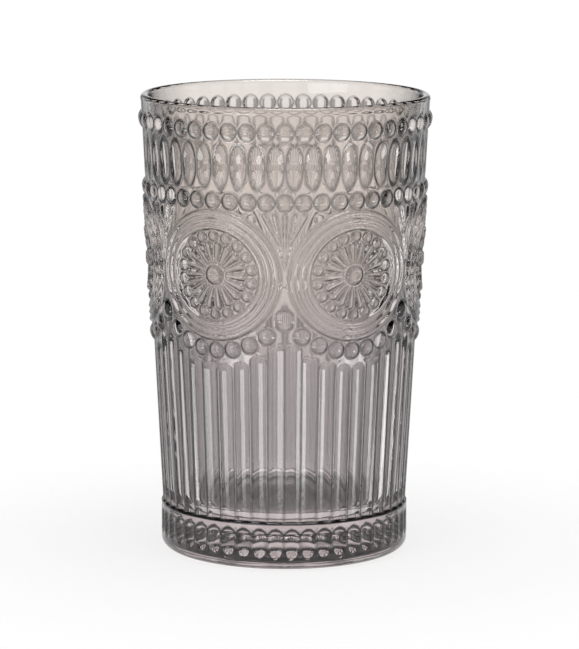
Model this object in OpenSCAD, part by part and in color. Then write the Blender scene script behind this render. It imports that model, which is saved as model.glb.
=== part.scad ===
// Pressed-glass water tumbler in smoky grey, with an embossed relief of beads, ovals,
// rosette medallions and flutes. The glass stands on the XY plane and +Z is its axis.
// The relief repeats on the same meridians all round, and the gap between two
// medallions faces -Y.

/* [Tumbler] */
// Height from the table to the top of the lip
height = 127; // [120:1:135]
// Outside diameter at the lip
rim_d = 80; // [76:1:86]
// Outside diameter at the neck, just above the foot
neck_d = 68; // [66:0.5:70]
// Thickness of the wall at the lip
lip_t = 2.3; // [2:0.1:3]
// Thickness of the wall where it meets the floor
low_wall_t = 3.6; // [3.2:0.1:5]
// Radius of the fillet between the floor and the wall
floor_fillet = 5; // [3:0.5:8]

/* [Foot] */
// Height of the foot, which is also the level of the floor
foot_h = 13.2; // [11.5:0.1:15]
// Outside diameter of the foot band
foot_d = 68.8; // [68:0.2:71]
// Radius of the rounded heel
heel_r = 3; // [2:0.1:3.4]
// Depth of the hollow under the foot
punt_depth = 1.2; // [0.5:0.1:2]
// Level where the fluted band of the foot starts
band_z = 3.6; // [3.5:0.1:4]
// Lowest point of the flutes in the foot
foot_flute_z = 4.2; // [4.1:0.1:5]
// Height of the plain collar over the foot flutes, measured at the lands
collar_h = 2.7; // [2:0.1:3.5]

/* [Meridians] */
// Depth of the flutes
flute_depth = 0.65; // [0.4:0.05:0.8]
// Width of the land left between two flutes
flute_land = 0.35; // [0.3:0.05:0.8]
// Height of the plain band above the flutes, measured down from the swag
swag_gap = 3.9; // [3.5:0.1:5]
// Level of the top edge of the fluted skirt
skirt_top = 64.5; // [64:0.1:66]

/* [Beads] */
// Level of the upper bead row
upper_row_z = 120.3; // [120.2:0.1:120.6]
// Level of the lower bead row
lower_row_z = 101.5; // [101.5:0.1:101.6]
// Diameter of a bead in the rows
row_bead_d = 4.7; // [3.5:0.1:4.8]
// Diameter of a bead in the swags
swag_bead_d = 4.5; // [3.5:0.1:4.5]
// Diameter of the bead where two swags meet
junction_bead_d = 5.6; // [4.5:0.1:6]
// Height of the beads above the wall
bead_h = 1.05; // [0.6:0.05:1.3]

/* [Ovals] */
// Level of the middle of the ovals
oval_z = 110.9; // [110.8:0.1:111]
// Height of an oval
oval_len = 12; // [9:0.5:12.5]
// Depth of an oval at its middle
oval_depth = 0.7; // [0.4:0.05:0.8]
// Height of the band that holds the ovals
oval_band_h = 13.6; // [13:0.1:13.6]

/* [Medallions] */
// Level of the medallion centres
medallion_z = 81.2; // [81:0.1:81.2]
// Radius of the outermost ring
medallion_r = 17.9; // [17:0.1:17.9]
// Inner radius of the ringed border
border_r = 12.4; // [12.35:0.05:13]
// Height of the rings above the wall
ring_h = 0.95; // [0.5:0.05:1.2]
// Radius of the circle of small beads
rosette_bead_r = 10.7; // [10.6:0.05:10.7]
// Diameter of a small bead
rosette_bead_d = 3.2; // [2.4:0.1:3.3]
// Distance of the petal roots from the centre
petal_root = 3.7; // [3.6:0.1:4.5]
// Distance of the petal ends from the centre
petal_tip = 8.2; // [7:0.1:8.3]
// Diameter of the centre button
button_d = 5.4; // [4:0.1:5.6]

/* [Swags and fans] */
// Drop of the swag below the medallion centre
swag_drop = 20.6; // [20.6:0.1:20.8]
// Angle from the medallion centre at which the swag would rise level with it
swag_span = 36.5; // [36:0.1:37]
// Level where the middle rib of a fan starts
fan_low = 84; // [83:0.5:88]
// Level where all ribs of a fan end
fan_high = 98; // [96:0.1:98.2]

/* [Hidden] */
$fn = 72;

light_tint = [0.75, 0.71, 0.69];
mid_tint = [0.62, 0.59, 0.58];
dark_tint = [0.48, 0.45, 0.45];

meridians = 48;
pitch = 360 / meridians;
medallions = 6;
span = 360 / medallions;
swag_meridians = span / pitch;
petals = 18;
ring_count = 3;
ring_steps = 3;
ring_segments = 36;
fan_side_ribs = 2;
fan_low_step = 0.9;
fan_top_step = 4.1;
fan_rise = 3;
fan_low_r = 0.4;
fan_top_r = 0.65;
petal_root_r = 0.4;
petal_tip_r = 1.15;
button_h = 1.3;
dimple_r = 2.4;
dimple_depth = 0.7;
rosette_bead_h = 0.9;
skin_t = 1.2;
lip_h = 3.8;
rib_sink = 0.05;
punt_r = 26;
arch_rise = 2;
arc_steps = 8;
over = 1;
core_fn = 256;
stave_gap = 0.03;
ring_valley = 0.3;

rim_r = rim_d / 2;
neck_r = neck_d / 2;
foot_r = foot_d / 2;
foot_seat_r = neck_r - skin_t;
lip_z = height - lip_h;
slope = (rim_r - neck_r) / (height - foot_h);
floor_r = neck_r - low_wall_t;
inner_slope = (rim_r - lip_t - floor_r) / (height - foot_h);
inner_lean = atan(inner_slope);
oval_low = oval_z - oval_band_h / 2;
oval_high = oval_z + oval_band_h / 2;

// Outside radius of the plain wall at a level
function wall(z) = neck_r + slope * (z - foot_h);

// Inside radius of the wall at a level
function inside(z) = floor_r + inner_slope * (z - foot_h);

// Points of an arc in a profile
function arc(centre, r, from, to) =
    [for (i = [0:arc_steps])
        let (a = from + (to - from) * i / arc_steps)
        centre + r * [cos(a), sin(a)]];

// A point on the wall, or that far out from it
function on_wall(angle, z, out = 0) =
    [(wall(z) + out) * sin(angle), -(wall(z) + out) * cos(angle), z];

// Middle meridian of a medallion
function medallion_angle(m) = span * (m + 0.5);

// Level of a point of a medallion, given by its distance and direction from the centre
function medallion_level(distance, direction) = medallion_z + distance * sin(direction);

// Meridian of such a point
function medallion_turn(m, distance, direction) =
    medallion_angle(m)
    + asin(distance * cos(direction) / wall(medallion_level(distance, direction)));

// Level of the swag at an angle from the medallion centre
function swag_z(angle) = medallion_z - swag_drop * sqrt(1 - pow(angle / swag_span, 2));

// Angle between a meridian and the nearest medallion centre
function from_medallion(angle) = abs((angle + 360) % span - span / 2);

// Radius of a scoop that leaves the flute land on a round wall
function scoop_r(r, depth) =
    let (half = (r * pitch * PI / 180 - flute_land) / 2)
    1 / (2 * depth / (half * half) - 1 / r);

// Half the length of the round end of a scoop
function scoop_end(r, depth) = sqrt(2 * r * depth - depth * depth);

// Distance of the axis of a flute from the glass axis
function flute_axis(z) = wall(z) + scoop_r(wall(z), flute_depth) - flute_depth;

// Height of the border across its width, as rounded ridges side by side
function ridge(step, steps) =
    step == 0 || step == steps
        ? 0
        : ring_h * (ring_valley + (1 - ring_valley) * abs(sin(180 * step / ring_steps)));

// Solid with the outside of the plain wall, on which the beads are seated
module wall_core() {
    cylinder(h = height, r1 = wall(0), r2 = wall(height), $fn = core_fn);
}

// Places a shape on the wall, with its +Z outwards and its +Y up the wall
module at_wall(angle, z, out = 0) {
    rotate([0, 0, angle])
        translate([0, -wall(z) - out, z])
            rotate([90 + atan(slope), 0, 0])
                children();
}

// Stave of a ring, one flute wide, with the given outline
module stave(outline) {
    turn = pitch - stave_gap;
    rotate([0, 0, -90 - turn / 2])
        rotate_extrude(angle = turn, $fn = core_fn)
            polygon(outline);
}

// Outline of the ring between two levels that fills the relief depth of the wall
function sleeve(low, high) =
    [[wall(low) - skin_t, low], [wall(low), low],
     [wall(high), high], [wall(high) - skin_t, high]];

// Round bead seated on the wall at a point, with an optional dimple in its top
module bead(angle, z, d, h, dimple = 0) {
    r = (d * d / 4 + h * h) / (2 * h);
    rotate([0, 0, angle])
        difference() {
            at_wall(0, z, h - r)
                sphere(r);
            wall_core();
            if (dimple > 0)
                at_wall(0, z, h + dimple_r - dimple)
                    sphere(dimple_r);
        }
}

// Half outline of a rod with round ends
module rod_outline(length, r1, r2) {
    polygon([[0, 0], [r1, 0], [r2, length], [0, length]]);
    translate([0, length])
        intersection() {
            circle(r2);
            square(r2);
        }
    mirror([0, 1])
        intersection() {
            circle(r1);
            square(r1);
        }
}

// Upright rod with round ends, leaning out from one radius to another
module scoop(low, high, low_axis, high_axis, low_r, high_r) {
    translate([0, -low_axis, low])
        rotate([atan((high_axis - low_axis) / (high - low)), 0, 0])
            rotate_extrude()
                rod_outline(high - low, low_r, high_r);
}

// Upright rod with a round lower end and a pointed upper end, which cuts a low arch
module arched_scoop(low, high, axis, r) {
    translate([0, -axis, low])
        rotate_extrude() {
            polygon([[0, 0], [r, 0], [r, high - low], [0, high - low + arch_rise * r]]);
            mirror([0, 1])
                intersection() {
                    circle(r);
                    square(r);
                }
        }
}

// Half-round rib with round ends, lying on the wall and centred on a point
module wall_rib(angle, z, direction, length, r1, r2) {
    at_wall(angle, z, -rib_sink)
        rotate([0, 0, direction])
            translate([-length / 2, 0, 0])
                rotate([90, 0, 90])
                    rotate_extrude(angle = 180)
                        rod_outline(length, r1, r2);
}

// Row of beads on every meridian
module bead_row(z) {
    for (k = [0:meridians - 1])
        bead(k * pitch, z, row_bead_d, bead_h);
}

// One stave of the skirt, with its flute
module skirt_stave(angle) {
    low = foot_h - over;
    top = swag_z(from_medallion(angle)) - swag_gap;
    high = top - scoop_end(scoop_r(wall(top), flute_depth), flute_depth);
    rotate([0, 0, angle])
        difference() {
            stave(sleeve(foot_h, skirt_top));
            scoop(low, high, flute_axis(low), flute_axis(high),
                  scoop_r(wall(low), flute_depth), scoop_r(wall(high), flute_depth));
        }
}

// One stave of the foot band, with its arched flute under the collar
module foot_stave(angle) {
    r = scoop_r(foot_r, flute_depth);
    low = foot_flute_z + scoop_end(r, flute_depth);
    axis = foot_r + r - flute_depth;
    rotate([0, 0, angle])
        difference() {
            stave([[foot_seat_r, band_z], [foot_r, band_z],
                   [foot_r, foot_h], [foot_seat_r, foot_h]]);
            arched_scoop(low, foot_h - collar_h, axis, r);
        }
}

// One stave of the oval band, with its oval cut by a round-edged wheel
module oval_stave(angle) {
    edge_r = scoop_r(wall(oval_z), oval_depth);
    wheel_r = (oval_len * oval_len / 4 + oval_depth * oval_depth) / (2 * oval_depth);
    rotate([0, 0, angle])
        difference() {
            stave(sleeve(oval_low, oval_high));
            at_wall(0, oval_z, wheel_r - oval_depth)
                rotate([0, -90, 0])
                    rotate_extrude()
                        translate([wheel_r - edge_r, 0])
                            rotate(180)
                                circle(edge_r);
        }
}

// Ringed border of one medallion, as one ridged band wrapped on the wall
module medallion_border(m) {
    steps = ring_count * ring_steps;
    step_w = (medallion_r - border_r) / steps;
    section = concat(
        [for (i = [0:steps]) [border_r + i * step_w, ridge(i, steps)]],
        [for (i = [2, 1]) [border_r + (medallion_r - border_r) * i / 3, 0]]);
    count = len(section);
    turn = 360 / ring_segments;
    points = [for (i = [0:ring_segments - 1], p = section)
        on_wall(medallion_turn(m, p[0], i * turn), medallion_level(p[0], i * turn), p[1])];
    corner = function(i, j) (i % ring_segments) * count + j % count;
    faces = [for (i = [0:ring_segments - 1], j = [0:count - 1], half = [0, 1])
        half == 0
            ? [corner(i, j), corner(i + 1, j), corner(i + 1, j + 1)]
            : [corner(i, j), corner(i + 1, j + 1), corner(i, j + 1)]];
    polyhedron(points, faces);
}

// Cup wall with its smooth inside, rebated where the fluted and oval bands sit
module bowl() {
    centre_z = foot_h + floor_fillet;
    centre_r = inside(centre_z) - floor_fillet / cos(inner_lean);
    color(light_tint)
        rotate_extrude()
            polygon(concat(
                arc([centre_r, centre_z], floor_fillet, -90, -inner_lean),
                [[inside(lip_z), lip_z], [wall(lip_z), lip_z],
                 [wall(oval_high), oval_high], [wall(oval_high) - skin_t, oval_high],
                 [wall(oval_low) - skin_t, oval_low], [wall(oval_low), oval_low],
                 [wall(skirt_top), skirt_top], [wall(skirt_top) - skin_t, skirt_top],
                 [wall(foot_h) - skin_t, foot_h]]));
}

// Rounded drinking edge on top of the wall
module lip() {
    round_r = lip_t / 2;
    color(light_tint)
        rotate_extrude()
            polygon(concat(
                [[inside(lip_z), lip_z], [wall(lip_z), lip_z]],
                arc([rim_r - round_r, height - round_r], round_r, 0, 180)));
}

// Thick foot with a rounded heel, a shallow hollow below and the floor on top
module foot() {
    punt_sphere = (punt_r * punt_r + punt_depth * punt_depth) / (2 * punt_depth);
    hollow = asin(punt_r / punt_sphere);
    color(dark_tint)
        rotate_extrude()
            polygon(concat(
                arc([0, punt_depth - punt_sphere], punt_sphere, 90, 90 - hollow),
                arc([foot_r - heel_r, heel_r], heel_r, -90, 0),
                [[foot_r, band_z], [foot_seat_r, band_z],
                 [foot_seat_r, foot_h], [0, foot_h]]));
}

// Fluted band round the foot, with a plain collar on top that makes the ring line
module foot_flutes() {
    color(dark_tint)
        for (k = [0:meridians - 1])
            foot_stave((k + 0.5) * pitch);
}

// Fluted lower wall, whose arched flutes end just under the swags
module fluted_skirt() {
    color(mid_tint)
        for (k = [0:meridians - 1])
            skirt_stave((k + 0.5) * pitch);
}

// Band of upright hollow ovals between the bead rows
module oval_band() {
    color(mid_tint)
        for (k = [0:meridians - 1])
            oval_stave((k + 0.5) * pitch);
}

// Bead row under the lip
module upper_beads() {
    color(light_tint)
        bead_row(upper_row_z);
}

// Bead row under the ovals
module lower_beads() {
    color(mid_tint)
        bead_row(lower_row_z);
}

// Ringed borders of the medallions
module medallion_rings() {
    color(mid_tint)
        for (m = [0:medallions - 1])
            medallion_border(m);
}

// Circle of small beads inside each border
module rosette_beads() {
    color(light_tint)
        for (m = [0:medallions - 1], i = [0:petals - 1]) {
            direction = (i + 0.5) * 360 / petals;
            bead(medallion_turn(m, rosette_bead_r, direction),
                 medallion_level(rosette_bead_r, direction),
                 rosette_bead_d, rosette_bead_h);
        }
}

// Petals that widen outwards from the button
module rosette_petals() {
    middle = (petal_root + petal_tip) / 2;
    color(light_tint)
        for (m = [0:medallions - 1], i = [0:petals - 1]) {
            direction = i * 360 / petals;
            wall_rib(medallion_turn(m, middle, direction), medallion_level(middle, direction),
                     direction, petal_tip - petal_root, petal_root_r, petal_tip_r);
        }
}

// Dished button in the middle of each medallion
module rosette_buttons() {
    color(mid_tint)
        for (m = [0:medallions - 1])
            bead(medallion_angle(m), medallion_z, button_d, button_h, dimple_depth);
}

// Beads that hang in a swag under each medallion
module swag_beads() {
    color(light_tint)
        for (m = [0:medallions - 1], k = [1:swag_meridians - 1]) {
            angle = m * span + k * pitch;
            bead(angle, swag_z(from_medallion(angle)), swag_bead_d, bead_h);
        }
}

// Larger bead where two swags meet
module junction_beads() {
    color(light_tint)
        for (m = [0:medallions - 1])
            bead(m * span, swag_z(span / 2), junction_bead_d, bead_h);
}

// Sheaf of ribs that spreads upwards in the gap between two medallions
module fan_ribs() {
    color(mid_tint)
        for (m = [0:medallions - 1], i = [-fan_side_ribs:fan_side_ribs]) {
            low = fan_low + abs(i) * fan_rise;
            middle = (low + fan_high) / 2;
            across = i * (fan_top_step - fan_low_step) * PI / 180 * wall(middle);
            wall_rib(m * span + i * (fan_low_step + fan_top_step) / 2, middle,
                     atan2(fan_high - low, across), norm([across, fan_high - low]),
                     fan_low_r, fan_top_r);
        }
}

bowl();
lip();
foot();
foot_flutes();
fluted_skirt();
oval_band();
upper_beads();
lower_beads();
medallion_rings();
rosette_beads();
rosette_petals();
rosette_buttons();
swag_beads();
junction_beads();
fan_ribs();
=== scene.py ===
"""Looks of the pressed-glass water tumbler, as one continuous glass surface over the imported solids.

Sizes are in millimetres and angles in degrees, as in the part's source, and turn into metres at the end.
The angle of a meridian is 0 on -Y, towards the camera, and grows towards +X.
"""
import math

import bpy
import numpy as np
from mathutils import Matrix, Vector


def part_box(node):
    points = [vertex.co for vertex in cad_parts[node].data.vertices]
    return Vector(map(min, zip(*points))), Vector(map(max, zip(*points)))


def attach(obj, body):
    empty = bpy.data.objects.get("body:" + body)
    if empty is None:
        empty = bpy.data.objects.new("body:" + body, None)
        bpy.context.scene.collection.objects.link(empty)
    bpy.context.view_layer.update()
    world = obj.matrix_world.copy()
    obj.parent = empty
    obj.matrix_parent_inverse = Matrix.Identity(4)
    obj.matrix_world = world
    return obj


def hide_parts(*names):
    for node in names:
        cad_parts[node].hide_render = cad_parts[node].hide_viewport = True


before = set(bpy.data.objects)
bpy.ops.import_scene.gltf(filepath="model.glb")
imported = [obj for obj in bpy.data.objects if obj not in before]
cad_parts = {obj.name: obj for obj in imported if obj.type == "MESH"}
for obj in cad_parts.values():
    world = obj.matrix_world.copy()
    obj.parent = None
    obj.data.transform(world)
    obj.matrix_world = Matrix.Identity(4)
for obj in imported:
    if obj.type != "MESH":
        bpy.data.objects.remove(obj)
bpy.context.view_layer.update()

MM = 0.001

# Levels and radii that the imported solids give
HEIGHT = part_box("lip")[1].z / MM
RIM_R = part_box("lip")[1].x / MM
FOOT_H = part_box("foot")[1].z / MM
FOOT_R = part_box("foot")[1].x / MM
UPPER_ROW_Z = (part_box("upper_beads")[0].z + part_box("upper_beads")[1].z) / 2 / MM
LOWER_ROW_Z = (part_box("lower_beads")[0].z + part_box("lower_beads")[1].z) / 2 / MM

# Cup
NECK_R = 34.0
LIP_T = 2.3
LOW_WALL_T = 3.6
FLOOR_FILLET = 5.0
SLOPE = (RIM_R - NECK_R) / (HEIGHT - FOOT_H)
INNER_FLOOR_R = NECK_R - LOW_WALL_T
INNER_SLOPE = (RIM_R - LIP_T - INNER_FLOOR_R) / (HEIGHT - FOOT_H)

# Foot
HEEL_R = 3.0
PUNT_R = 26.0
PUNT_DEPTH = 1.2
FOOT_FLUTE_Z = 4.2
FOOT_ARCH_Z = FOOT_H - 2.7
ARCH_RISE = 2.0
RING_LINE_W = 0.5

# Relief on the meridians
MERIDIANS = 48
PITCH = 360.0 / MERIDIANS
FLUTE_DEPTH = 0.65
FLUTE_LAND = 0.35
BEAD_H = 1.05
ROW_BEAD_D = 4.7
SWAG_BEAD_D = 4.6
JUNCTION_BEAD_D = 5.6
OVAL_Z = 110.9
OVAL_LEN = 12.0
OVAL_DEPTH = 0.7

# Medallions, swags and fans
MEDALLIONS = 6
SPAN = 360.0 / MEDALLIONS
MEDALLION_Z = 81.2
MEDALLION_R = 17.9
BORDER_R = 12.4
RINGS = 3
RING_H = 0.95
RING_OVERLAP = 1.12
PETALS = 18
ROSETTE_BEAD_R = 10.7
ROSETTE_BEAD_D = 3.2
ROSETTE_BEAD_H = 0.9
PETAL_ROOT, PETAL_ROOT_R = 3.7, 0.4
PETAL_TIP, PETAL_TIP_R = 8.2, 1.15
BUTTON_D, BUTTON_H = 5.4, 1.3
DIMPLE_R, DIMPLE_DEPTH = 2.4, 0.7
SWAG_DROP = 20.6
SWAG_SPAN = 36.5
SWAG_GAP = 3.9
FAN_SIDE_RIBS = 2
FAN_LOW, FAN_HIGH, FAN_RISE = 84.0, 98.0, 3.0
FAN_LOW_STEP, FAN_TOP_STEP = 0.9, 4.1
FAN_LOW_R, FAN_TOP_R = 0.4, 0.65

# How softly the fire-polished relief runs into the wall
BLEND = 0.12

# Steepness that sets the painted shade on the glass: capped on plain flanks and in the rosettes, and
# raised on fine edges and on the foot's painted dark lines
FLANK_STEEPNESS, ROSETTE_STEEPNESS = 1.3, 0.6
EDGE_STEEPNESS, EDGE_W = 2.4, 0.36
ROSETTE_EDGE, ROSETTE_EDGE_W = 0.85, 0.26
LINE_STEEPNESS, LINE_W = 4.5, 0.45

# Mesh density, with finer levels within a margin of the fine relief
COLUMNS = MERIDIANS * 15
COLUMN_STEP = 360.0 / COLUMNS
POLE_STEP = 4.0
INSIDE_STEP, INSIDE_TOP = 4.0, 3.0
HEEL_STEPS, LIP_STEPS, FILLET_STEPS = 8, 14, 10
PLAIN_STEP, RIM_STEP, BAND_STEP = 2.4, 0.8, 0.6
FINE_STEP, ARCH_STEP, LINE_STEP = 0.36, 0.24, 0.12
ARCH_MARGIN, LINE_MARGIN, OVAL_MARGIN, BEAD_MARGIN = 0.6, 1.0, 6.6, 2.8
FRIEZE_LOW = 52.0


def wall(z):
    """Outside radius of the plain wall at a level."""
    return NECK_R + SLOPE * (z - FOOT_H)


def inside(z):
    """Inside radius of the wall at a level."""
    return INNER_FLOOR_R + INNER_SLOPE * (z - FOOT_H)


def soft_max(a, b, blend=BLEND):
    return 0.5 * (a + b + np.sqrt((a - b) ** 2 + blend * blend)) - 0.25 * blend


def cap(distance, width, height):
    """Height of a round cap of that width at a distance from its middle, below zero outside it."""
    radius = (width * width / 4 + height * height) / (2 * height)
    return np.sqrt(np.maximum(radius * radius - distance * distance, 0.0)) - (radius - height)


def round_rib(x, y, start, end, r_start, r_end):
    """Height of a half-round rib with round ends between two points of the unrolled wall."""
    dx, dy = end[0] - start[0], end[1] - start[1]
    t = np.clip(((x - start[0]) * dx + (y - start[1]) * dy) / (dx * dx + dy * dy), 0.0, 1.0)
    off = np.hypot(x - start[0] - t * dx, y - start[1] - t * dy)
    radius = r_start + (r_end - r_start) * t
    inside_rib = np.sqrt(np.maximum(radius * radius - off * off, 0.0))
    return np.where(off < radius, inside_rib, radius - off)


def swag_level(angle):
    """Level of the swag at an angle from the medallion's middle."""
    return MEDALLION_Z - SWAG_DROP * np.sqrt(1.0 - (angle / SWAG_SPAN) ** 2)


def from_medallion(angle):
    """Angle between a meridian and the nearest medallion's middle."""
    return np.abs(np.mod(angle, SPAN) - SPAN / 2)


def nearest(angle, step, offset=0.0):
    """Nearest of the angles that repeat at a step, counted from an offset."""
    return np.round((angle - offset) / step) * step + offset


def bead_rows(angle, z):
    across = np.radians(angle - nearest(angle, PITCH)) * wall(z)
    upper = cap(np.hypot(across, z - UPPER_ROW_Z), ROW_BEAD_D, BEAD_H)
    lower = cap(np.hypot(across, z - LOWER_ROW_Z), ROW_BEAD_D, BEAD_H)
    return np.maximum(upper, lower)


def swag_beads(angle, z):
    meridian = nearest(angle, PITCH)
    away = from_medallion(meridian)
    across = np.radians(angle - meridian) * wall(z)
    distance = np.hypot(across, z - swag_level(away))
    junction = away > SPAN / 2 - PITCH / 2
    return np.where(junction, cap(distance, JUNCTION_BEAD_D, BEAD_H), cap(distance, SWAG_BEAD_D, BEAD_H))


def on_medallion(angle, z):
    """Distance and direction from the nearest medallion's middle."""
    off = np.radians(angle - nearest(angle, SPAN, SPAN / 2))
    x, y = wall(z) * np.sin(off), z - MEDALLION_Z
    return np.hypot(x, y), np.degrees(np.arctan2(y, x))


def rings(rho):
    """Ringed border, by the distance from the medallion's middle."""
    ring_w = (MEDALLION_R - BORDER_R) / RINGS
    height = np.full_like(rho, -1.0)
    for i in range(RINGS):
        from_ridge = rho - BORDER_R - (i + 0.5) * ring_w
        height = np.maximum(height, cap(from_ridge, RING_OVERLAP * ring_w, RING_H))
    return height


def rosette(rho, phi):
    """Small beads, petals and the dished button."""
    step = 360.0 / PETALS
    turn = np.radians(phi - nearest(phi, step, step / 2))
    to_bead = np.hypot(rho * np.cos(turn) - ROSETTE_BEAD_R, rho * np.sin(turn))
    height = cap(to_bead, ROSETTE_BEAD_D, ROSETTE_BEAD_H)
    turn = np.radians(phi - nearest(phi, step))
    petal = round_rib(rho * np.cos(turn), rho * np.sin(turn), (PETAL_ROOT, 0.0), (PETAL_TIP, 0.0),
                      PETAL_ROOT_R, PETAL_TIP_R)
    height = np.maximum(height, petal)
    dimple = BUTTON_H + DIMPLE_R - DIMPLE_DEPTH - np.sqrt(np.maximum(DIMPLE_R ** 2 - rho * rho, 0.0))
    return np.maximum(height, np.minimum(cap(rho, BUTTON_D, BUTTON_H), dimple))


def medallion(angle, z):
    """Border and rosette of the nearest medallion."""
    rho, phi = on_medallion(angle, z)
    return np.maximum(rings(rho), rosette(rho, phi))


def fan(angle, z):
    """Sheaf of ribs in the nearest gap between two medallions."""
    x = np.radians(angle - nearest(angle, SPAN)) * wall(z)
    height = np.full_like(x, -1.0)
    for i in range(-FAN_SIDE_RIBS, FAN_SIDE_RIBS + 1):
        low = FAN_LOW + abs(i) * FAN_RISE
        start = (math.radians(i * FAN_LOW_STEP) * wall(low), low)
        end = (math.radians(i * FAN_TOP_STEP) * wall(FAN_HIGH), FAN_HIGH)
        height = np.maximum(height, round_rib(x, z, start, end, FAN_LOW_R, FAN_TOP_R))
    return height


def in_flute(angle, z):
    """Distance from the middle of the nearest flute or oval, and half its width."""
    across = np.radians(angle - nearest(angle, PITCH, PITCH / 2)) * wall(z)
    return across, (math.radians(PITCH) * wall(z) - FLUTE_LAND) / 2


def hollows(angle, z):
    """Depth of the flutes and ovals, below zero where the wall is plain."""
    across, half = in_flute(angle, z)
    top = swag_level(from_medallion(nearest(angle, PITCH, PITCH / 2))) - SWAG_GAP
    past_top = np.maximum(z - (top - half), 0.0)
    skirt = FLUTE_DEPTH * (1.0 - (across ** 2 + past_top ** 2) / half ** 2)
    below_foot = np.maximum(FOOT_FLUTE_Z + half - z, 0.0)
    foot = FLUTE_DEPTH * (1.0 - (across ** 2 + below_foot ** 2) / half ** 2)
    foot = foot - np.maximum(z - FOOT_ARCH_Z, 0.0) / ARCH_RISE
    oval = OVAL_DEPTH * (1.0 - (across / half) ** 2 - (2 * (z - OVAL_Z) / OVAL_LEN) ** 2)
    flute = np.where(z > FOOT_H, skirt, foot)
    return np.maximum(flute, oval)


def painted_foot_lines(angle, z):
    """Where the foot's painted shade lines go: 1 on the ring line over the foot and on the arches where
    its flutes end, fading to 0 beside them.
    """
    across, half = in_flute(angle, z)
    arch = FOOT_ARCH_Z + ARCH_RISE * FLUTE_DEPTH * np.maximum(1.0 - (across / half) ** 2, 0.0)
    return np.exp(-((z - FOOT_H) / LINE_W) ** 2) + np.exp(-((z - arch + LINE_W) / LINE_W) ** 2)


def painted_edge_lines(angle, z):
    """Where painted shade lines go: 1 on the edges of flutes, ovals and beads and less in the rosettes,
    fading to 0 beside them.
    """
    across, half = in_flute(angle, z)
    oval = half * (np.hypot(across / half, 2 * (z - OVAL_Z) / OVAL_LEN) - 1.0)
    flute = np.where(hollows(angle, z) > -FLUTE_DEPTH / 2, np.abs(across) - half, half)
    hollow = np.where(z > MEDALLION_Z, oval, flute)
    bead = np.maximum(bead_rows(angle, z), swag_beads(angle, z))
    lines = np.exp(-(np.minimum(np.abs(hollow), np.abs(bead)) / EDGE_W) ** 2)
    fine_lines = ROSETTE_EDGE * np.exp(-(rosette(*on_medallion(angle, z)) / ROSETTE_EDGE_W) ** 2)
    return np.maximum(lines, fine_lines)


def relief(angle, z):
    """How far the moulded surface stands out from the plain wall."""
    raised = soft_max(np.zeros_like(angle), bead_rows(angle, z))
    for feature in (swag_beads, medallion, fan):
        raised = soft_max(raised, feature(angle, z))
    return raised - soft_max(np.zeros_like(angle), hollows(angle, z))


def spaced(start, end, step):
    """Levels from start up to end, without the end, at about that step."""
    count = max(1, round(abs(end - start) / step))
    return start + (end - start) * np.arange(count) / count


def arc(centre_r, centre_z, radius, start, end, steps):
    turn = np.radians(np.linspace(start, end, steps + 1))
    return np.column_stack([centre_r + radius * np.cos(turn), centre_z + radius * np.sin(turn)])


def outer_levels():
    """Levels of the outside, close together where the relief is fine."""
    arch_low = FOOT_ARCH_Z - ARCH_MARGIN
    line_low, line_high = FOOT_H - LINE_MARGIN, FOOT_H + LINE_MARGIN
    oval_low, oval_high = OVAL_Z - OVAL_MARGIN, OVAL_Z + OVAL_MARGIN
    bead_high = UPPER_ROW_Z + BEAD_MARGIN
    return np.concatenate([
        spaced(HEEL_R, arch_low, BAND_STEP),
        spaced(arch_low, line_low, ARCH_STEP),
        spaced(line_low, line_high, LINE_STEP),
        spaced(line_high, FRIEZE_LOW, PLAIN_STEP),
        spaced(FRIEZE_LOW, oval_low, FINE_STEP),
        spaced(oval_low, oval_high, BAND_STEP),
        spaced(oval_high, bead_high, FINE_STEP),
        spaced(bead_high, HEIGHT - LIP_T / 2, RIM_STEP)])


def outer_rows():
    """Radius, level and steepness of the relief on the outside, by level and meridian, the steepness
    raised on edges and foot lines to set the painted shade.
    """
    z = outer_levels()
    angle = np.arange(COLUMNS) * COLUMN_STEP
    z_grid, angle_grid = np.meshgrid(z, angle, indexing="ij")
    step = 1.0 / (1.0 + np.exp((z_grid - FOOT_H) / (RING_LINE_W / 4)))
    plain = wall(np.maximum(z_grid, FOOT_H)) * (1.0 - step) + FOOT_R * step
    raised = relief(angle_grid, z_grid)
    reach = 2 * plain * math.radians(COLUMN_STEP)
    across = (np.roll(raised, -1, axis=1) - np.roll(raised, 1, axis=1)) / reach
    along = np.gradient(plain + raised, z, axis=0) - SLOPE
    limit = np.where(medallion(angle_grid, z_grid) > 0.0, ROSETTE_STEEPNESS, FLANK_STEEPNESS)
    steepness = np.minimum(np.hypot(across, along), limit)
    # Painted shade: dark lines along the edges of flutes, ovals, beads and rosettes
    steepness = np.maximum(steepness, EDGE_STEEPNESS * painted_edge_lines(angle_grid, z_grid))
    # Painted shade: dark lines on the foot's ring line and arches
    steepness = np.maximum(steepness, LINE_STEEPNESS * painted_foot_lines(angle_grid, z_grid))
    return plain + raised, z_grid, steepness


def underside():
    """Outline from the middle of the hollow under the foot out to the heel."""
    sphere = (PUNT_R ** 2 + PUNT_DEPTH ** 2) / (2 * PUNT_DEPTH)
    r = np.arange(POLE_STEP, PUNT_R, POLE_STEP)
    punt = np.column_stack([r, PUNT_DEPTH - sphere + np.sqrt(sphere ** 2 - r ** 2)])
    edge = np.array([[PUNT_R, 0.0]])
    heel = arc(FOOT_R - HEEL_R, HEEL_R, HEEL_R, -90, 0, HEEL_STEPS)[:-1]
    return np.concatenate([punt, edge, heel])


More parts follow.
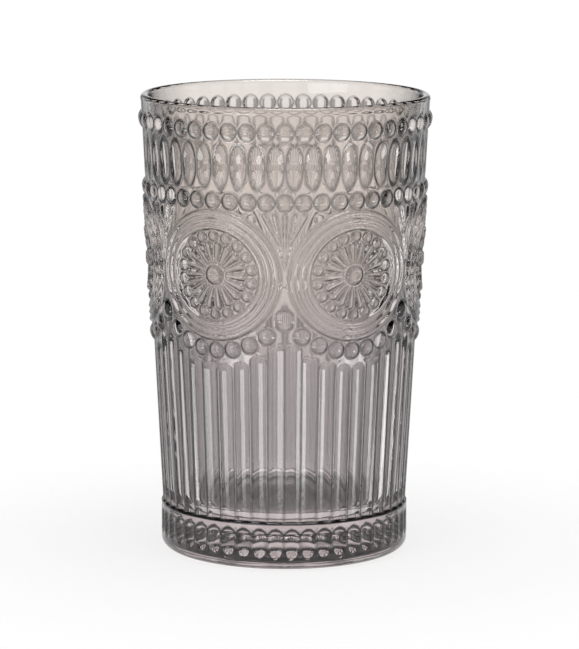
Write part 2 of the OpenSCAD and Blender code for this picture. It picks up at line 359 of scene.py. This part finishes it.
def lip_and_inside():
    """Outline over the lip, down the smooth inside and across the floor."""
    lean = math.degrees(math.atan(INNER_SLOPE))
    lip = arc(RIM_R - LIP_T / 2, HEIGHT - LIP_T / 2, LIP_T / 2, 0, 180, LIP_STEPS)
    centre_z = FOOT_H + FLOOR_FILLET
    centre_r = inside(centre_z) - FLOOR_FILLET / math.cos(math.radians(lean))
    z = spaced(HEIGHT - LIP_T / 2 - INSIDE_TOP, centre_z, INSIDE_STEP)
    down = np.column_stack([inside(z), z])
    fillet = arc(centre_r, centre_z, FLOOR_FILLET, -lean, -90, FILLET_STEPS)
    r = np.arange(centre_r - POLE_STEP, POLE_STEP / 2, -POLE_STEP)
    floor = np.column_stack([r, np.full_like(r, FOOT_H)])
    return np.concatenate([lip, down, fillet, floor])


def revolved(outline):
    """The same ring of points at every row of an outline, with no relief."""
    radius = np.repeat(outline[:, :1], COLUMNS, axis=1)
    z = np.repeat(outline[:, 1:], COLUMNS, axis=1)
    return radius, z, np.zeros_like(z)


def glass_mesh():
    """One closed surface: under the foot, up the moulded outside, over the lip and down the inside."""
    parts = [revolved(underside()), outer_rows(), revolved(lip_and_inside())]
    radius = np.concatenate([p[0] for p in parts])
    z = np.concatenate([p[1] for p in parts])
    steepness = np.concatenate([p[2] for p in parts])
    angle = np.radians(np.arange(COLUMNS) * COLUMN_STEP)
    ring_points = np.stack([radius * np.sin(angle), -radius * np.cos(angle), z], axis=-1)
    rows = len(radius)
    poles = [[0.0, 0.0, PUNT_DEPTH], [0.0, 0.0, FOOT_H]]
    points = np.concatenate([ring_points.reshape(-1, 3), poles]) * MM
    row, column = np.meshgrid(np.arange(rows - 1), np.arange(COLUMNS), indexing="ij")
    here = row * COLUMNS + column
    beside = row * COLUMNS + (column + 1) % COLUMNS
    quads = np.stack([here, beside, beside + COLUMNS, here + COLUMNS], axis=-1).reshape(-1, 4)
    around = np.arange(COLUMNS)
    after = (around + 1) % COLUMNS
    last = (rows - 1) * COLUMNS
    bottom = np.stack([after, around, np.full(COLUMNS, rows * COLUMNS)], axis=-1)
    top = np.stack([last + around, last + after, np.full(COLUMNS, rows * COLUMNS + 1)], axis=-1)
    mesh = bpy.data.meshes.new("glass_tumbler")
    mesh.from_pydata(points.tolist(), [], quads.tolist() + bottom.tolist() + top.tolist())
    mesh.validate()
    mesh.polygons.foreach_set("use_smooth", np.ones(len(mesh.polygons), dtype=bool))
    # The steepness goes on as the painted shade attribute, by which the material darkens the glass
    painted_shade = mesh.attributes.new("painted_shade", "FLOAT", "POINT")
    painted_shade.data.foreach_set("value", np.append(steepness.ravel(), [0.0, 0.0]).astype(np.float32))
    mesh.update()
    return mesh


# Glass
TOP_TINT = (0.81, 0.76, 0.725, 1.0)
LOW_TINT = (0.665, 0.63, 0.632, 1.0)
TINT_LOW_Z, TINT_TOP_Z = 0.045, 0.085
ABSORB = (0.77, 0.66, 0.665, 1.0)
ABSORB_DENSITY = 15.0
GLASS_IOR = 1.52
SHADOW_TINT = (0.8, 0.78, 0.77, 1.0)
# Painted shade: near-black colour mixed into the tint on steep flanks, edges, foot lines and where the
# surface turns away
PAINTED_SHADE_COLOUR = (0.005, 0.0045, 0.005, 1.0)
FLANK_FROM, FLANK_TO, FLANK_SHARE = 0.4, 3.0, 1.0
EDGE_FROM, EDGE_TO, EDGE_SHARE, WALL_SHARE = 0.25, 0.8, 2.5, 1.0
WAVE_SCALE, WAVE_DETAIL = 160.0, 2.0
WAVE_STRENGTH, WAVE_DEPTH = 0.06, 0.0004
SPOT_SCALE, SPOT_DETAIL = 45.0, 4.0
SPOT_FROM, SPOT_TO, SPOT_ROUGHNESS = 0.45, 0.75, 0.035


def link(tree, start, socket_out, end, socket_in):
    tree.links.new(start.outputs[socket_out], end.inputs[socket_in])


def math_node(tree, operation, *values):
    """Arithmetic on the outputs or numbers given."""
    node = tree.nodes.new("ShaderNodeMath")
    node.operation = operation
    for socket, value in zip(node.inputs, values):
        if isinstance(value, (int, float)):
            socket.default_value = value
        else:
            tree.links.new(value, socket)
    return node.outputs["Value"]


def ranged(tree, value, low, high, start=0.0, end=1.0, kind="LINEAR"):
    """Value between start and end, as the one given goes from low to high."""
    node = tree.nodes.new("ShaderNodeMapRange")
    node.interpolation_type = kind
    for name, number in (("From Min", low), ("From Max", high), ("To Min", start), ("To Max", end)):
        node.inputs[name].default_value = number
    tree.links.new(value, node.inputs["Value"])
    return node.outputs["Result"]


def mixed_colour(tree, share, start, end):
    """Colour between the two given, as outputs or values."""
    mix = tree.nodes.new("ShaderNodeMix")
    mix.data_type = "RGBA"
    tree.links.new(share, mix.inputs[0])
    for socket, colour in ((mix.inputs[6], start), (mix.inputs[7], end)):
        if isinstance(colour, tuple):
            socket.default_value = colour
        else:
            tree.links.new(colour, socket)
    return mix.outputs[2]


def glass_tint(tree, place):
    """Smoky tint, lighter towards the lip, with painted shade on steep flanks, edges and foot lines and
    where the surface turns away.
    """
    split = tree.nodes.new("ShaderNodeSeparateXYZ")
    link(tree, place, "Object", split, "Vector")
    height = ranged(tree, split.outputs["Z"], TINT_LOW_Z, TINT_TOP_Z)
    plain = mixed_colour(tree, height, LOW_TINT, TOP_TINT)
    painted_shade = tree.nodes.new("ShaderNodeAttribute")
    painted_shade.attribute_name = "painted_shade"
    # Painted shade where the surface turns away from the view
    turned = tree.nodes.new("ShaderNodeLayerWeight")
    steep = ranged(tree, painted_shade.outputs["Fac"], FLANK_FROM, FLANK_TO)
    edge = ranged(tree, turned.outputs["Facing"], EDGE_FROM, EDGE_TO)
    share = math_node(tree, "MULTIPLY_ADD", edge, EDGE_SHARE, FLANK_SHARE)
    wall_share = math_node(tree, "MULTIPLY", edge, WALL_SHARE)
    shade_share = math_node(tree, "MULTIPLY_ADD", steep, share, wall_share)
    shade_share = math_node(tree, "MINIMUM", shade_share, 1.0)
    return mixed_colour(tree, shade_share, plain, PAINTED_SHADE_COLOUR)


def glass_material():
    """Smoky pressed glass with the slight waviness and dull spots of a moulded surface."""
    material = bpy.data.materials.new("smoked_glass_painted_shade")
    material.use_nodes = True
    tree = material.node_tree
    tree.nodes.clear()
    make = tree.nodes.new
    out = make("ShaderNodeOutputMaterial")
    glass = make("ShaderNodeBsdfPrincipled")
    place = make("ShaderNodeTexCoord")
    tree.links.new(glass_tint(tree, place), glass.inputs["Base Color"])
    glass.inputs["IOR"].default_value = GLASS_IOR
    glass.inputs["Transmission Weight"].default_value = 1.0
    waves = make("ShaderNodeTexNoise")
    waves.inputs["Scale"].default_value = WAVE_SCALE
    waves.inputs["Detail"].default_value = WAVE_DETAIL
    bump = make("ShaderNodeBump")
    bump.inputs["Strength"].default_value = WAVE_STRENGTH
    bump.inputs["Distance"].default_value = WAVE_DEPTH
    spots = make("ShaderNodeTexNoise")
    spots.inputs["Scale"].default_value = SPOT_SCALE
    spots.inputs["Detail"].default_value = SPOT_DETAIL
    link(tree, place, "Object", waves, "Vector")
    link(tree, place, "Object", spots, "Vector")
    link(tree, waves, "Fac", bump, "Height")
    link(tree, bump, "Normal", glass, "Normal")
    rough = ranged(tree, spots.outputs["Fac"], SPOT_FROM, SPOT_TO, 0.0, SPOT_ROUGHNESS)
    tree.links.new(rough, glass.inputs["Roughness"])
    shade = make("ShaderNodeBsdfTransparent")
    shade.inputs["Color"].default_value = SHADOW_TINT
    path = make("ShaderNodeLightPath")
    mix = make("ShaderNodeMixShader")
    link(tree, path, "Is Shadow Ray", mix, "Fac")
    tree.links.new(glass.outputs["BSDF"], mix.inputs[1])
    tree.links.new(shade.outputs["BSDF"], mix.inputs[2])
    absorb = make("ShaderNodeVolumeAbsorption")
    absorb.inputs["Color"].default_value = ABSORB
    absorb.inputs["Density"].default_value = ABSORB_DENSITY
    link(tree, mix, "Shader", out, "Surface")
    link(tree, absorb, "Volume", out, "Volume")
    return material


def add_glass():
    glass = bpy.data.objects.new("glass_tumbler", glass_mesh())
    bpy.context.scene.collection.objects.link(glass)
    glass.data.materials.append(glass_material())
    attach(glass, "root")
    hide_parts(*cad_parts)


# Stage
FLOOR_R = 0.15
FLOOR_SIDES = 96
FLOOR_DROP = 0.0002
FLOOR_COLOUR = (0.86, 0.86, 0.86, 1.0)
FLOOR_GLOW = 0.7
FLOOR_FADE_FROM, FLOOR_FADE_TO = 0.05, 0.14
WHITE = (1.0, 1.0, 1.0, 1.0)
WORLD_LIGHT = 0.4
PANELS = 4
# Degrees from a panel's middle at which the white ends, the gap starts, the gap ends and the white is back
GAPS = ((8.0, 13.0, 21.0, 25.0), (35.2, 36.4, 38.4, 39.8))
GAP_LOW_FROM, GAP_LOW_TO = -0.42, -0.28
PANEL_TOP_FROM, PANEL_TOP_TO = 0.13, 0.36
PANEL_TONE, GAP_TONE, TOP_TONE = 1.0, 0.45, 0.03


def smooth_range(tree, value, low, high, start, end):
    """Value between start and end, with soft ends to the range."""
    return ranged(tree, value, low, high, start, end, "SMOOTHSTEP")


def seen(tree):
    """1 for rays from the camera, a mirror or glass, and 0 for the rays that light the scene."""
    path = tree.nodes.new("ShaderNodeLightPath")
    direct = math_node(tree, "MAXIMUM", path.outputs["Is Camera Ray"], path.outputs["Is Glossy Ray"])
    return math_node(tree, "MAXIMUM", direct, path.outputs["Is Transmission Ray"])


def dim_share(tree, parts):
    """1 in the gaps between the studio's panels, and 0 on the panels and below the floor."""
    turn = math_node(tree, "ARCTAN2", parts["X"], parts["Y"])
    off = math_node(tree, "PINGPONG", turn, math.pi / PANELS)
    share = 0.0
    for gap in GAPS:
        bright_to, dim_from, dim_to, bright_from = [math.radians(limit) for limit in gap]
        past = smooth_range(tree, off, bright_to, dim_from, 0.0, 1.0)
        before = smooth_range(tree, off, dim_to, bright_from, 1.0, 0.0)
        share = math_node(tree, "MULTIPLY_ADD", past, before, share)
    above = smooth_range(tree, parts["Z"], GAP_LOW_FROM, GAP_LOW_TO, 0.0, 1.0)
    return math_node(tree, "MULTIPLY", share, above)


def add_floor():
    """Pale round floor, which keeps the shadow and runs into the white of the studio at its edge."""
    turn = np.linspace(0.0, 2 * math.pi, FLOOR_SIDES, endpoint=False)
    corners = np.column_stack([FLOOR_R * np.cos(turn), FLOOR_R * np.sin(turn), np.zeros(FLOOR_SIDES)])
    mesh = bpy.data.meshes.new("floor")
    mesh.from_pydata(corners.tolist(), [], [list(range(FLOOR_SIDES))])
    floor = bpy.data.objects.new("floor", mesh)
    floor.location.z = -FLOOR_DROP
    bpy.context.scene.collection.objects.link(floor)
    material = bpy.data.materials.new("pale_floor")
    material.use_nodes = True
    tree = material.node_tree
    tree.nodes.clear()
    away = tree.nodes.new("ShaderNodeVectorMath")
    away.operation = "LENGTH"
    tree.links.new(tree.nodes.new("ShaderNodeNewGeometry").outputs["Position"], away.inputs[0])
    fade = smooth_range(tree, away.outputs["Value"], FLOOR_FADE_FROM, FLOOR_FADE_TO, 0.0, 1.0)
    matt = tree.nodes.new("ShaderNodeBsdfDiffuse")
    matt.inputs["Color"].default_value = FLOOR_COLOUR
    glow = tree.nodes.new("ShaderNodeEmission")
    glow.inputs["Color"].default_value = WHITE
    clear = tree.nodes.new("ShaderNodeBsdfTransparent")
    both = tree.nodes.new("ShaderNodeMixShader")
    faded = tree.nodes.new("ShaderNodeMixShader")
    out = tree.nodes.new("ShaderNodeOutputMaterial")
    tree.links.new(math_node(tree, "MULTIPLY", seen(tree), FLOOR_GLOW), both.inputs["Fac"])
    tree.links.new(matt.outputs["BSDF"], both.inputs[1])
    tree.links.new(glow.outputs["Emission"], both.inputs[2])
    tree.links.new(fade, faded.inputs["Fac"])
    tree.links.new(both.outputs["Shader"], faded.inputs[1])
    tree.links.new(clear.outputs["BSDF"], faded.inputs[2])
    tree.links.new(faded.outputs["Shader"], out.inputs["Surface"])
    mesh.materials.append(material)


def add_world():
    """Studio with white panels, pale grey gaps and a dim ceiling, and even light on the scene."""
    world = bpy.data.worlds.new("studio")
    bpy.context.scene.world = world
    world.use_nodes = True
    tree = world.node_tree
    tree.nodes.clear()
    direction = tree.nodes.new("ShaderNodeTexCoord").outputs["Generated"]
    split = tree.nodes.new("ShaderNodeSeparateXYZ")
    tree.links.new(direction, split.inputs[0])
    over = smooth_range(tree, split.outputs["Z"], PANEL_TOP_FROM, PANEL_TOP_TO, PANEL_TONE, TOP_TONE)
    bright = math_node(tree, "MULTIPLY_ADD", dim_share(tree, split.outputs), GAP_TONE - 1.0, 1.0)
    tone = math_node(tree, "MULTIPLY", over, bright)
    light = tree.nodes.new("ShaderNodeBackground")
    light.inputs["Color"].default_value = WHITE
    light.inputs["Strength"].default_value = WORLD_LIGHT
    panels = tree.nodes.new("ShaderNodeBackground")
    panels.inputs["Color"].default_value = WHITE
    both = tree.nodes.new("ShaderNodeMixShader")
    out = tree.nodes.new("ShaderNodeOutputWorld")
    tree.links.new(tone, panels.inputs["Strength"])
    tree.links.new(seen(tree), both.inputs["Fac"])
    tree.links.new(light.outputs["Background"], both.inputs[1])
    tree.links.new(panels.outputs["Background"], both.inputs[2])
    tree.links.new(both.outputs["Shader"], out.inputs["Surface"])


# Lamps by name: place, aim, width and height, and watts
MIDDLE = (0.0, 0.0, 0.05)
LAMPS = {
    "window": ((-0.616, -0.788, 0.3), MIDDLE, (0.7, 0.7), 2.5),
    "low_left": ((-0.616, -0.788, -0.26), MIDDLE, (0.6, 0.17), 1.3),
    "low_right": ((0.795, -0.4225, -0.23), MIDDLE, (0.4, 0.15), 0.95),
    "overhead": ((0.1, -0.2, 1.3), (0.0, 0.0, 0.0), (0.8, 0.8), 10.0),
}


def add_lamp(name, place, aim, size, power):
    """Soft lamp that the glass reflects, but that isn't seen through it."""
    data = bpy.data.lights.new(name, "AREA")
    data.shape = "ELLIPSE"
    data.size, data.size_y = size
    data.energy = power
    lamp = bpy.data.objects.new(name, data)
    lamp.visible_transmission = False
    lamp.location = place
    lamp.rotation_euler = (Vector(aim) - Vector(place)).to_track_quat("-Z", "Y").to_euler()
    bpy.context.scene.collection.objects.link(lamp)


# Camera, at the place that the photograph's rim, bead rows and foot give
PHOTO_W, PHOTO_H = 579, 649
FOCAL_PX = 3569.0
CAMERA_AWAY = 979.7
CAMERA_UP = 227.8
CAMERA_SIDE = 1.35
CAMERA_PITCH = 9.59
CAMERA_ROLL = 0.2
SENSOR_MM = 36.0
CLIP_NEAR = 0.01


def add_camera():
    data = bpy.data.cameras.new("camera")
    data.sensor_width = SENSOR_MM
    data.lens = FOCAL_PX * SENSOR_MM / max(PHOTO_W, PHOTO_H)
    data.clip_start = CLIP_NEAR
    camera = bpy.data.objects.new("camera", data)
    place = Matrix.Translation(Vector((CAMERA_SIDE, -CAMERA_AWAY, CAMERA_UP)) * MM)
    tilt = Matrix.Rotation(math.radians(90.0 - CAMERA_PITCH), 4, "X")
    roll = Matrix.Rotation(math.radians(CAMERA_ROLL), 4, "Z")
    camera.matrix_world = place @ tilt @ roll
    bpy.context.scene.collection.objects.link(camera)
    bpy.context.scene.camera = camera


add_camera()
add_glass()
add_floor()
add_world()
for lamp_name, settings in LAMPS.items():
    add_lamp(lamp_name, *settings)
bpy.context.scene.view_settings.view_transform = "Standard"
